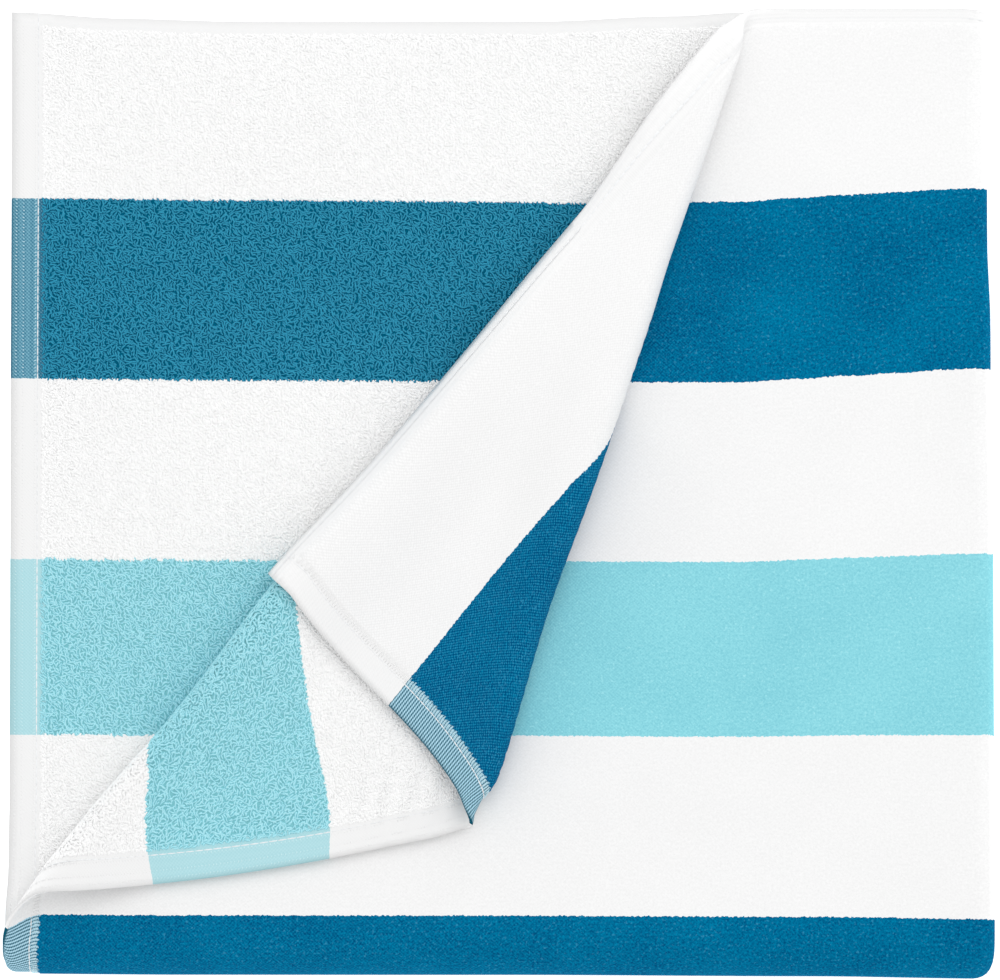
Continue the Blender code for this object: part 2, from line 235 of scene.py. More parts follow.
# Sewing and floats of the hems
STITCH = 3.4 * MM
STITCH_GAP = 0.02                    # of a stitch, at each end of it
STITCH_RADIUS = 0.24 * MM
SIDE_STITCH_RADIUS = 0.14 * MM
STRAIGHT_RINGS = (-0.46, 0.0, 0.46)
SUNK = 0.12 * MM                     # by which stitches and floats lie in the cloth
SEAM = 10.4 * MM
SIDE_SEAM = 3.8 * MM
RIB_PITCH = 1.36 * MM
BEAD_PITCH = 0.95 * MM
BAND_PITCH = 2.9 * MM
EDGE_SHADE = 0.9 * MM                # width of the painted shade line at the very edge
SHADE_START = 0.6 * MM               # where the painted shade beside the loops starts, past the seam


class Seam(NamedTuple):
    """A line of stitches on the flat cloth, the same on both faces."""
    start: tuple
    end: tuple
    radius: float


SEAMS = (
    Seam((SEAM, 0), (SEAM, WIDTH), STITCH_RADIUS),
    Seam((LENGTH - SEAM, 0), (LENGTH - SEAM, WIDTH), STITCH_RADIUS),
    Seam((0, SIDE_SEAM), (LENGTH, SIDE_SEAM), SIDE_STITCH_RADIUS),
    Seam((0, WIDTH - SIDE_SEAM), (LENGTH, WIDTH - SIDE_SEAM), SIDE_STITCH_RADIUS),
)


class FloatRow(NamedTuple):
    """A row of weft floats along the end hems, one float on every rib."""
    side: int          # +1 on the velour face, -1 on the terry face
    near: float        # from the end of the towel
    far: float
    radius: float


FLOAT_ROWS = (
    FloatRow(1, 10.9 * MM, 13.5 * MM, 0.36 * MM),
    FloatRow(-1, 1.6 * MM, 2.3 * MM, 0.22 * MM),
    FloatRow(-1, 4.4 * MM, 5.1 * MM, 0.22 * MM),
    FloatRow(-1, 9.1 * MM, 9.8 * MM, 0.22 * MM),
)
FLOAT_STRAY = 0.1 * MM
FLOAT_REACH = 0.15 * MM
FLOAT_SEED = 11

# The sheet's materials: the pile of each face, then the hems of the velour face and of the terry face
VELOUR, TERRY, RIBBED, TWILLED = range(4)

# Mesh steps on the flat cloth
FINE = 2.9 * MM
FINEST = 1.2 * MM
MIDDLE = 5 * MM
COARSE = 11 * MM
LENGTHWISE = 1.5 * FINE              # along the side hems
BEND_STEP = 2 * MM                   # round the doubled edge
BEND_MARGIN = 2 * MM
ARC_STEPS = 12                       # in each half turn
PLEAT_PATCH = (-100 * MM, 20 * MM)   # along the upper edge from the pleat's point
PLEAT_PATCH_DEPTH = 80 * MM
MERGE = 0.2 * MM

# The view, and the level at which it is VIEW_WIDTH wide
VIEW_CENTRE = -184.4 * MM
VIEW_WIDTH = 389 * MM
VIEW_LEVEL = 34 * MM
LENS = 300                           # in millimetres, as the camera takes it and its sensor
SENSOR = 36
VIEW_RANGE = 20

# The studio
FLOOR_SIZE = 6
FLOOR_GAP = 0.2 * MM
FLOOR_GLOW = 0.6
SURROUND = 0.89
SOFTBOX_SIZE = 2.4
SOFTBOX_POWER = 25
SOFTBOX_PLACE = (0.7, 1.75, 2.4)


def ease(x):
    """A smooth step from 0 to 1."""
    x = np.clip(x, 0, 1)
    return x * x * (3 - 2 * x)


def inside_hems(u, v):
    """0 on the hems, rising to 1 where the pile begins."""
    from_end = np.minimum(u, LENGTH - u) - END_HEM
    from_side = np.minimum(v, WIDTH - v) - SIDE_HEM
    return ease(np.minimum(from_end, from_side) / HEM_STEP)


def run_length():
    """The straight length of a full run, from the length that the four runs and the half turns share."""
    turned = sum(pi * bend.radius * PITCH for bend in SECTION)
    recessed = sum(bend.recess for bend in SECTION) * LEFT_RECESS
    return (LENGTH + recessed - turned) / len(SECTION)


def run_marks():
    """Where along the cloth each run begins and ends."""
    marks = []
    start = 0.0
    for bend in SECTION:
        end = start + run_length() - bend.recess * LEFT_RECESS
        marks.append((start, end))
        start = end + pi * bend.radius * PITCH
    return marks


def run_at(u, w):
    """The section through the four layers: x, height above the top layer, and the layer's own level."""
    right_edge = LEFT_EDGE + run_length()
    x = np.zeros_like(u)
    height = np.zeros_like(u)
    level = np.zeros_like(u)
    for bend, (start, end) in zip(SECTION, run_marks()):
        face = 1 if bend.level % 2 == 0 else -1
        here = (u >= start) & (u <= end)
        begin = LEFT_EDGE + bend.recess * LEFT_RECESS if bend.heading > 0 else right_edge
        x[here] = (begin + bend.heading * (u - start))[here]
        height[here] = (bend.level * PITCH + face * w)[here]
        level[here] = bend.level * PITCH
        radius = bend.radius * PITCH
        if radius == 0:
            continue
        here = (u > end) & (u < end + pi * radius)
        stop = begin + bend.heading * (end - start)
        climb = 1 if (bend.heading > 0) == (bend.turn > 0) else -1
        angle = (u - end) / radius
        reach = radius - climb * face * w
        centre = bend.level * PITCH + climb * radius
        x[here] = (stop + bend.heading * reach * np.sin(angle))[here]
        height[here] = (centre - climb * reach * np.cos(angle))[here]
        level[here] = (centre - climb * radius * np.cos(angle))[here]
    return x, height, level


def ease_radially(x, y):
    """The pleat's cloth is drawn in or out along lines from its point."""
    across = PLEAT_POINT - x
    distance = np.hypot(across, y)
    angle = np.arctan2(-y, across)
    share = np.sin(pi * np.clip(angle / TURN_ANGLE, 0, 1)) ** 2
    distance = distance * (1 + RADIAL_EASE * share)
    return PLEAT_POINT - distance * np.cos(angle), -distance * np.sin(angle)


def crease_place(x, y, crease):
    """A point's distance along a crease, its offset across it, and the bend's radius there."""
    distance = -(x - crease.foot) * cos(crease.angle) - y * sin(crease.angle)
    offset = -(x - crease.foot) * sin(crease.angle) + y * cos(crease.angle)
    t = np.clip(distance / crease.length, 0, 1)
    foot, middle, far = crease.radii
    return distance, offset, foot * (1 - t) ** 2 + 2 * middle * t * (1 - t) + far * t * t


def fold_over(x, y, height, crease):
    """Turn everything past a crease over, round a half cylinder whose radius varies along it."""
    distance, offset, radius = crease_place(x, y, crease)
    travelled = offset + pi * radius / 2
    angle = np.clip(travelled / radius, 0, pi)
    past = np.maximum(travelled - pi * radius, 0)
    before = np.minimum(travelled, 0)
    reach = radius - crease.up * height
    offset = before - pi * radius / 2 + reach * np.sin(angle) - crease.shrink * past
    settled = (2 * radius - PITCH) * ease(past / SETTLE_REACH)
    rise = radius - reach * np.cos(angle) - settled
    distance = distance + crease.slip * past
    x = crease.foot - distance * cos(crease.angle) - offset * sin(crease.angle)
    y = -distance * sin(crease.angle) + offset * cos(crease.angle)
    return x, y, crease.up * rise


def tugged(x, y):
    """Let the pleat lie a little aside here and there."""
    pulls = [(np.exp(-((x - tug.x) ** 2 + (y - tug.y) ** 2) / tug.reach ** 2), tug) for tug in TUGS]
    return x + sum(pull * tug.across for pull, tug in pulls), y + sum(pull * tug.up for pull, tug in pulls)


def pucker(u, v):
    """The height of the puckers along the turned-back hem."""
    along = (u - PUCKER_MIDDLE[0]) / PUCKER_REACH[0]
    across = (v - PUCKER_MIDDLE[1]) / PUCKER_REACH[1]
    ripple = np.sin(2 * pi * (v + PUCKER_SLANT * u) / PUCKER_LENGTH)
    return PUCKER * np.exp(-along ** 2 - across ** 2) * ripple


def corner_squeeze(x):
    """How much of the doubled edge's reach is left where its two corners are rounded off."""
    cut = np.zeros_like(x)
    right_edge = LEFT_EDGE + run_length() + SECTION[0].radius * PITCH + PILE_THICK / 2
    for distance, size in ((x - LEFT_EDGE, LEFT_CORNER), (right_edge - x, RIGHT_CORNER)):
        inward = np.clip(size - distance, 0, size)
        cut = np.maximum(cut, size - np.sqrt(size * size - inward * inward))
    return 1 - cut / FOLD_RADIUS


def bend_double(x, y, height, level):
    """Double the stack over along its lower edge; below it, inner layers are eased to the same free edges."""
    inset = -level / PITCH * EDGE_STAGGER
    radius = FOLD_RADIUS + level
    above = FLAT_WIDTH - inset
    squeeze = (above + pi * radius) / (WIDTH - above)
    travelled = inset + np.minimum(-y, above) + np.maximum(-y - above, 0) * squeeze
    at_end = ease((LEFT_EDGE + END_SLIDE_WIDTH - x) / END_SLIDE_WIDTH)
    near_fold = (ease((travelled - END_SLIDE_SPAN[0]) / END_SLIDE_EASE)
                 * ease((END_SLIDE_SPAN[1] - travelled) / END_SLIDE_EASE))
    travelled = travelled + END_SLIDE * at_end * near_fold
    angle = np.clip((travelled - FLAT_WIDTH) / radius, 0, pi)
    beyond = np.maximum(travelled - FLAT_WIDTH - pi * radius, 0)
    outer = FOLD_RADIUS + height
    reach = outer * np.sin(angle) * corner_squeeze(x)
    y = -np.minimum(travelled, FLAT_WIDTH) - reach + beyond
    z = FOLD_RADIUS + PILE_THICK / 2 + outer * np.cos(angle)
    return y, z


def stray(table, position):
    """How far an edge strays, eased between the rows of its table."""
    places = [row[0] * MM for row in table]
    amounts = [row[1] * MM for row in table]
    position = np.clip(position, places[0], places[-1])
    strayed = np.zeros_like(position)
    for left, right, low, high in zip(places, places[1:], amounts, amounts[1:]):
        here = (position >= left) & (position <= right)
        strayed[here] = (low + (high - low) * ease((position - left) / (right - left)))[here]
    return strayed


def lie_uneven(x, y, z):
    """Let the edges stray and the layers swell a little; the base stays flat."""
    towards_top = ease(1 + y / TOP_REACH)
    upper_body = ease(1 + (y + TOP_REACH) / BODY_REACH)
    towards_bottom = ease(1 - (FLAT_WIDTH + FOLD_RADIUS + y) / BOTTOM_REACH)
    towards_left = ease(0.5 - x / SIDE_REACH)
    towards_right = ease(0.5 + x / SIDE_REACH)
    rise = (stray(BODY_RISE, x) * upper_body + stray(TOP_EDGE, x) * towards_top
            + stray(BOTTOM_EDGE, x) * towards_bottom)
    shift = stray(RIGHT_SIDE, y) * towards_right - stray(LEFT_SIDE, y) * towards_left
    waves = [np.sin(2 * pi * place / length + phase)
             for place, length, phase in zip((x, y), SWELL_LENGTH, SWELL_PHASE)]
    lift = SWELL * waves[0] * waves[1] * z / (2 * FOLD_RADIUS)
    return x + shift, y + rise, z + lift


def cloth_point(u, v, w):
    """Where points of the flat cloth end up in the folded towel, one row each."""
    x, height, level = run_at(u, w)
    y = -v
    on_top = u <= run_marks()[0][1]
    px, py = ease_radially(x[on_top], y[on_top])
    ph = height[on_top]
    for crease in PLEAT:
        px, py, ph = fold_over(px, py, ph, crease)
    x[on_top], y[on_top] = tugged(px, py)
    height[on_top] = ph + pucker(u[on_top], v[on_top])
    y, z = bend_double(x, y, height, level)
    return np.column_stack(lie_uneven(x, y, z))


# Meshes

def spread(start, end, step):
    """Evenly spaced places from start to end, no further apart than step."""
    return np.linspace(start, end, max(2, int(np.ceil((end - start) / step)) + 1))


def patch(u_range, v_range, u_step, v_step):
    """A grid of points over part of the flat cloth."""
    u, v = np.meshgrid(spread(*u_range, u_step), spread(*v_range, v_step))
    return np.column_stack([u.ravel(), v.ravel()])


def cloth_patches():
    """Points of the flat cloth, closest together where it shows and where it bends."""
    marks = run_marks()
    top, second, third, lowest = marks
    upper = (0, FLAT_WIDTH - BEND_MARGIN)
    doubled = (FLAT_WIDTH - BEND_MARGIN, WIDTH - FLAT_WIDTH + BEND_MARGIN)
    lower = (WIDTH - FLAT_WIDTH + BEND_MARGIN, WIDTH)
    near_point = [PLEAT_POINT - LEFT_EDGE + reach for reach in PLEAT_PATCH]
    patches = [
        patch(top, upper, FINE, FINE),
        patch(near_point, (0, PLEAT_PATCH_DEPTH), FINEST, FINEST),
        patch((0, LENGTH), doubled, COARSE, BEND_STEP),
        patch((0, END_HEM), doubled, FINEST, BEND_STEP),
        patch((LENGTH - END_HEM, LENGTH), doubled, FINEST, BEND_STEP),
        patch(top, lower, COARSE, COARSE),
    ]
    for bend, (_, end), (following, _) in zip(SECTION, marks, marks[1:]):
        arc_step = pi * bend.radius * PITCH / ARC_STEPS
        patches.append(patch((end, following), doubled, arc_step, BEND_STEP))
        for half in (upper, lower):
            patches.append(patch((end, following), half, arc_step, COARSE))
    for run in (second, third):
        for half in (upper, lower):
            patches.append(patch(run, half, COARSE, COARSE))
    patches.append(patch((lowest[0], LENGTH), upper, MIDDLE, MIDDLE))
    patches.append(patch((lowest[0], LENGTH), lower, COARSE, COARSE))
    return np.vstack(patches)


def hem_lines():
    """Lines that the mesh keeps: the outline and both edges of each hem."""
    lines = []
    for u in (0, END_HEM, END_HEM + HEM_STEP, LENGTH - END_HEM - HEM_STEP, LENGTH - END_HEM, LENGTH):
        lines.append([(u, v) for v in spread(0, WIDTH, FINE)])
    for v in (0, SIDE_HEM, SIDE_HEM + HEM_STEP, WIDTH - SIDE_HEM - HEM_STEP, WIDTH - SIDE_HEM, WIDTH):
        lines.append([(u, v) for u in spread(0, LENGTH, LENGTHWISE)])
    return lines


def flat_mesh():
    """Triangulate the flat cloth."""
    verts = []
    edges = []
    for line in hem_lines():
        first = len(verts)
        verts += line
        edges += [(i, i + 1) for i in range(first, len(verts) - 1)]
    verts += cloth_patches().tolist()
    plan = [(u, -v) for u, v in verts]
    result = delaunay_2d_cdt(plan, edges, [], 0, MERGE)
    flat = np.array([tuple(point) for point in result[0]])
    u = np.clip(flat[:, 0], 0, LENGTH)
    v = np.clip(-flat[:, 1], 0, WIDTH)
    return u, v, np.array([tuple(face) for face in result[2]])


def rim_edges(faces):
    """The directed edges that only one triangle uses: the outline of the cloth."""
    directed = {(int(f[i]), int(f[(i + 1) % 3])) for f in faces for i in range(3)}
    return np.array([(a, b) for a, b in sorted(directed) if (b, a) not in directed])


def new_piece(name, points, faces, maps, materials, indices=None):
    """A smooth mesh piece that rides on the towel, with named UV maps, one row for each point."""
    mesh = bpy.data.meshes.new(name)
    mesh.from_pydata(points.tolist(), [], faces.tolist())
    corners = np.array([loop.vertex_index for loop in mesh.loops])
    for map_name, places in maps.items():
        layer = mesh.uv_layers.new(name=map_name)
        layer.data.foreach_set("uv", places[corners].astype(np.float32).ravel())
    for material in materials:
        mesh.materials.append(material)
    if indices is not None:
        mesh.polygons.foreach_set("material_index", indices.astype(np.int32))
    mesh.shade_smooth()
    mesh.update()
    piece = bpy.data.objects.new(name, mesh)
    bpy.context.scene.collection.objects.link(piece)
    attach(piece, "root")
    return piece


def seat_shift(points, box):
    """How far to move the folded cloth so that it sits in the CAD solid's box."""
    middle = (points.min(axis=0) + points.max(axis=0)) / 2
    centre = (np.array(box[0]) + np.array(box[1])) / 2
    return np.array([centre[0] - middle[0], centre[1] - middle[1], box[0][2] - points[:, 2].min()])


def rim_faces(faces, count):
    """Triangles along the outline, from the velour face to the terry face count points further on."""
    rim = rim_edges(faces)
    a, b = rim[:, 0], rim[:, 1]
    return np.vstack([np.column_stack([b, a, count + a]), np.column_stack([b, count + a, count + b])])


def build_cloth(materials, box):
    """The sheet itself: velour face, terry ground and hems."""
    u, v, faces = flat_mesh()
    pile = inside_hems(u, v)
    hem = HEM_THICK / 2
    velour_face = cloth_point(u, v, hem + (PILE_THICK / 2 - hem) * pile)
    terry_face = cloth_point(u, v, -(hem + (GROUND - hem) * pile))
    points = np.vstack([velour_face, terry_face])
    shift = seat_shift(points, box)
    sides = rim_faces(faces, len(u))
    on_hem = inside_hems(u[faces].mean(axis=1), v[faces].mean(axis=1)) < 0.5
    indices = np.concatenate([
        np.where(on_hem, RIBBED, VELOUR),
        np.where(on_hem, TWILLED, TERRY),
        np.full(len(sides), RIBBED),
    ])
    shell = np.vstack([faces, len(u) + faces[:, ::-1], sides])
    maps = {"cloth": np.tile(np.column_stack([u, v]), (2, 1))}
    return new_piece("towel_cloth", points + shift, shell, maps, materials, indices), shift


def strand(rings):
    """A unit length of yarn, open below: (along, across, up) for each point, and its triangles."""
    points = [(-0.5, 0, 0)]
    for along in rings:
        points += [(along, -1, 0), (along, 0, 1), (along, 1, 0)]
    points.append((0.5, 0, 0))
    last = len(points) - 1
    faces = [(0, 2, 1), (0, 3, 2), (last, last - 3, last - 2), (last, last - 2, last - 1)]
    for ring in range(len(rings) - 1):
        for low in (1 + 3 * ring, 2 + 3 * ring):
            faces += [(low, low + 1, low + 3), (low + 1, low + 4, low + 3)]
    return np.array(points), np.array(faces)


class Yarn(NamedTuple):
    """How each of a number of strands lies, one row each."""
    root: np.ndarray      # middle of the strand on the flat cloth
    turn: np.ndarray      # its direction there
    length: np.ndarray
    radius: np.ndarray
    height: np.ndarray    # of its arch
    bow: np.ndarray       # of its sideways curve


def lay_yarn(name, yarn, rings, base, side, shift, material):
    """Lay bent strands of yarn on one face of the cloth."""
    shape, triangles = strand(rings)
    arch = 1 - (2 * shape[:, 0]) ** 4
    along = shape[:, 0] * yarn.length[:, None]
    across = shape[:, 1] * yarn.radius[:, None] + yarn.bow[:, None] * (1 - (2 * shape[:, 0]) ** 2)
    up = base + yarn.height[:, None] * arch + shape[:, 2] * yarn.radius[:, None]
    cosine, sine = np.cos(yarn.turn)[:, None], np.sin(yarn.turn)[:, None]
    u = np.clip(yarn.root[:, 0, None] + along * cosine - across * sine, 0, LENGTH)
    v = np.clip(yarn.root[:, 1, None] + along * sine + across * cosine, 0, WIDTH)
    points = cloth_point(u.ravel(), v.ravel(), (side * up).ravel()) + shift
    offsets = np.arange(len(yarn.root))[:, None, None] * len(shape)
    order = triangles if side > 0 else triangles[:, ::-1]
    faces = (order[None] + offsets).reshape(-1, 3)
    # Painted shading of each loop, for the yarn map: 1 along its top, 0 down its flanks
    painted_ridge_shading = np.where(shape[:, 1] == 0, 1 - 2 * np.abs(shape[:, 0]) ** 3, 0)
    own = np.column_stack([shape[:, 0] + 0.5, painted_ridge_shading])
    maps = {"cloth": np.repeat(yarn.root, len(shape), axis=0), "yarn": np.tile(own, (len(yarn.root), 1))}
    return new_piece(name, points, faces, maps, [material])


def lower_terry():
    """Roots of the loops that show on the lowest layer of the upper half, beside the pleat."""
    roots = patch((run_marks()[3][0], LENGTH - LOOP_START), (SIDE_HEM, FLAT_WIDTH), *LOOP_PITCH)
    place = cloth_point(roots[:, 0], roots[:, 1], np.zeros(len(roots)))
    _, offset, radius = crease_place(place[:, 0], place[:, 1], PLEAT[1])
    return roots[offset > -radius]


def turned_terry():
    """Roots of the loops that show on the turned-back part, as far as a little under the flap's hem."""
    roots = patch((LOOP_START, run_marks()[0][1]), (SIDE_HEM, FLAT_WIDTH + LOOP_REACH), *LOOP_PITCH)
    x, y = ease_radially(roots[:, 0] + LEFT_EDGE, -roots[:, 1])
    _, turned, turned_radius = crease_place(x, y, PLEAT[1])
    _, tucked, _ = crease_place(x, y, PLEAT[0])
    roots = roots[(turned > -pi / 2 * turned_radius) & (tucked < 0)]
    place = cloth_point(roots[:, 0], roots[:, 1], np.zeros(len(roots)))
    corner, along = cloth_point(np.zeros(2), np.array([0, STRIPES[0].start]), np.zeros(2))
    run = (along - corner) / np.hypot(*(along - corner)[:2])
    beyond = (place[:, 0] - corner[0]) * run[1] - (place[:, 1] - corner[1]) * run[0]
    _, offset, radius = crease_place(place[:, 0], place[:, 1], PLEAT[1])
    return roots[(beyond > -UNDER_FLAP) | (offset > -radius)]


def loop_lean(roots):
    """The way neighbouring loops lean together, swirling over the cloth."""
    along = 2 * pi * roots[:, 0] / LOOP_SWIRL[0]
    across = 2 * pi * roots[:, 1] / LOOP_SWIRL[1]
    swirl_along = 0.8 * np.sin(along + 1.7 * np.sin(0.6 * across))
    swirl_across = 0.7 * np.sin(across + 1.3 * np.sin(0.7 * along))
    return LOOP_LEAN + swirl_along + swirl_across


def build_loops(material, shift):
    """Terry loops, as many pieces as the triangle limit asks for."""
    random = np.random.default_rng(LOOP_SEED)
    pieces = []
    for name, roots in (("terry_lower", lower_terry()), ("terry_turned", turned_terry())):
        roots = roots + random.uniform(-LOOP_STRAY, LOOP_STRAY, roots.shape) * np.array(LOOP_PITCH)
        for part, start in enumerate(range(0, len(roots), LOOPS_PER_PIECE)):
            some = roots[start:start + LOOPS_PER_PIECE]
            count = len(some)
            yarn = Yarn(
                some,
                loop_lean(some) + random.normal(0, LOOP_SPREAD, count),
                LOOP_LENGTH * random.uniform(0.7, 1.3, count),
                LOOP_RADIUS * random.uniform(0.85, 1.15, count),
                LOOP_HEIGHT * random.uniform(0.5, 1.1, count),
                LOOP_BOW * random.uniform(-1, 1, count),
            )
            pieces.append(lay_yarn(f"{name}_{part + 1}", yarn, LOOP_RINGS, LOOP_BASE, -1, shift, material))
    return pieces


def straight_yarn(name, starts, stops, radii, side, shift, material):
    """Straight strands from start to stop points on a hem."""
    along, across = (stops - starts).T
    turn = np.arctan2(across, along)
    yarn = Yarn((starts + stops) / 2, turn, np.hypot(along, across), radii, radii / 2, np.zeros(len(starts)))
    return lay_yarn(name, yarn, STRAIGHT_RINGS, HEM_THICK / 2 - SUNK, side, shift, material)


def stitches(seam):
    """Where each stitch of a seam starts and stops, and its radius."""
    start = np.array(seam.start)
    run = np.array(seam.end) - start
    count = int(np.hypot(*run) / STITCH)
    steps = np.arange(count)[:, None]
    starts = start + run * (steps + STITCH_GAP) / count
    stops = start + run * (steps + 1 - STITCH_GAP) / count
    return starts, stops, np.full(count, seam.radius)


def build_seams(material, shift):
    """White lockstitch along the end hems and the side hems, on both faces."""
    starts, stops, radii = [np.concatenate(part) for part in zip(*[stitches(seam) for seam in SEAMS])]
    return [straight_yarn(name, starts, stops, radii, side, shift, material)
            for name, side in (("stitches_velour", 1), ("stitches_terry", -1))]


def build_floats(material, shift):
    """Weft floats of the end hems: a band beside the pile on the velour face, rows of dots on the other."""
    random = np.random.default_rng(FLOAT_SEED)
    places = np.arange(SIDE_HEM, WIDTH - SIDE_HEM, RIB_PITCH)
    pieces = []
    for number, row in enumerate(FLOAT_ROWS):
        starts = []
        stops = []
        for at_far_end in (False, True):
            place = places + random.uniform(-FLOAT_STRAY, FLOAT_STRAY, len(places))
            reach = random.uniform(-FLOAT_REACH, FLOAT_REACH, (2, len(places)))
            near, far = row.near + reach[0], row.far + reach[1]
            if at_far_end:
                near, far = LENGTH - far, LENGTH - near
            starts.append(np.column_stack([near, place]))
            stops.append(np.column_stack([far, place]))
        name = f"weft_floats_{number + 1}"
        ends = [np.vstack(points) for points in (starts, stops)]
        radii = np.full(2 * len(places), row.radius)
        pieces.append(straight_yarn(name, *ends, radii, row.side, shift, material))
    return pieces


# Materials

class Nodes:
    """A short way to lay out shader nodes."""

    def __init__(self, name):
        self.material = bpy.data.materials.new(name)
        self.material.use_nodes = True
        self.tree = self.material.node_tree
        self.shader = self.tree.nodes["Principled BSDF"]

    def node(self, kind, settings=None, **inputs):
        """Add a node, set its properties, and set or link its inputs; _0 is the first one, _1 the second."""
        made = self.tree.nodes.new(kind)
        for key, value in (settings or {}).items():
            setattr(made, key, value)
        for key, value in inputs.items():
            socket = int(key[1:]) if key[0] == "_" else key
            self.feed(made.inputs[socket], value)
        return made

    def feed(self, socket, value):
        """Link a socket to another, or set it."""
        if isinstance(value, bpy.types.NodeSocket):
            self.tree.links.new(value, socket)
        else:
            socket.default_value = value

    def math(self, operation, first, second=0.0, clamp=False):
        """A math node's result."""
        settings = {"operation": operation, "use_clamp": clamp}
        return self.node("ShaderNodeMath", settings, _0=first, _1=second).outputs[0]

    def product(self, first, second):
        """Two values multiplied."""
        return self.math("MULTIPLY", first, second)

    def inwards(self, coordinate, size):
        """The distance from the nearer of two opposite edges of the cloth."""
        return self.math("MINIMUM", coordinate, self.math("SUBTRACT", size, coordinate))

    def place(self):
        """The two coordinates on the flat cloth, and both as a vector."""
        vector = self.node("ShaderNodeUVMap", {"uv_map": "cloth"}).outputs[0]
        split = self.node("ShaderNodeSeparateXYZ", _0=vector)
        return vector, split.outputs[0], split.outputs[1]

    def fibre(self, scale):
        """Fine noise that does not follow the flat cloth."""
        return self.noise(self.node("ShaderNodeTexCoord").outputs["Object"], scale, detail=2, roughness=0.6)

    def noise(self, vector, scale, detail=2.0, roughness=0.5):
        """Noise from 0 to 1 at a scale per metre."""
        made = self.node("ShaderNodeTexNoise", Vector=vector, Scale=scale, Detail=detail, Roughness=roughness)
        return made.outputs["Fac"]

    def stripes(self, v, colours):
        """The woven stripes across the width, exactly placed."""
        colour = (*colours["white"], 1)
        from_side = self.inwards(v, WIDTH)
        for stripe in STRIPES:
            middle = (stripe.start + stripe.stop) / 2
            inside = self.math("COMPARE", from_side, middle)
            self.feed(inside.node.inputs[2], stripe.stop - middle)
            colour = self.mix(inside, colour, (*colours[stripe.colour], 1))
        return colour

    def grained(self, v, grain, table):
        """The stripes, each mixed from its darkest to its lightest by the grain."""
        dark = self.stripes(v, {name: colour.dark for name, colour in table.items()})
        light = self.stripes(v, {name: colour.light for name, colour in table.items()})
        return self.mix(grain, dark, light)

    def jittered(self, vector, coordinate, scale, amount):
        """A coordinate of the cloth, shaken so that a stripe's edge is as ragged as its pile."""
        shake = self.product(self.math("SUBTRACT", self.noise(vector, scale), 0.5), amount)
        return self.math("ADD", coordinate, shake)

    def mix(self, factor, first, second):
        """A colour mix."""
        made = self.node("ShaderNodeMix", {"data_type": "RGBA"})
        self.feed(made.inputs[0], factor)
        self.feed(made.inputs[6], first)
        self.feed(made.inputs[7], second)
        return made.outputs[2]

    def brighten(self, colour, value):
        """Multiply a colour by a number."""
        made = self.node("ShaderNodeVectorMath", {"operation": "SCALE"}, _0=colour)
        self.feed(made.inputs["Scale"], value)
        return made.outputs[0]

    def span(self, value, low, high):
        """Spread a 0 to 1 value over low to high."""
        made = self.node("ShaderNodeMapRange", Value=value)
        self.feed(made.inputs["To Min"], low)
        self.feed(made.inputs["To Max"], high)
        return made.outputs[0]

    def stretch(self, value, low, high):
        """Stretch what lies between low and high over 0 to 1."""
        made = self.node("ShaderNodeMapRange", Value=value)
        self.feed(made.inputs["From Min"], low)
        self.feed(made.inputs["From Max"], high)
        return made.outputs[0]

    def wave(self, *terms):
        """A sine from -1 to 1 of the sum of coordinates, each given with its wavelength."""
        phase = self.total(*[(coordinate, 2 * pi / length) for coordinate, length in terms])
        return self.math("SINE", phase)

    def total(self, *terms):
        """The sum of values, each given with its weight."""
        result = 0.0
        for value, weight in terms:
            result = self.math("ADD", self.product(value, weight), result)
        return result

    def finish(self, colour, height, distance, strength, roughness, sheen):
        """Connect a matt fabric: colour, bump, and constant roughness and sheen."""
        bump = self.node("ShaderNodeBump", Height=height, Distance=distance, Strength=strength)
        self.feed(self.shader.inputs["Base Color"], colour)
        self.feed(self.shader.inputs["Normal"], bump.outputs[0])
        self.shader.inputs["Roughness"].default_value = roughness
        self.shader.inputs["Specular IOR Level"].default_value = 0.0
        self.shader.inputs["Sheen Weight"].default_value = sheen
        self.shader.inputs["Sheen Roughness"].default_value = 0.5
        return self.material


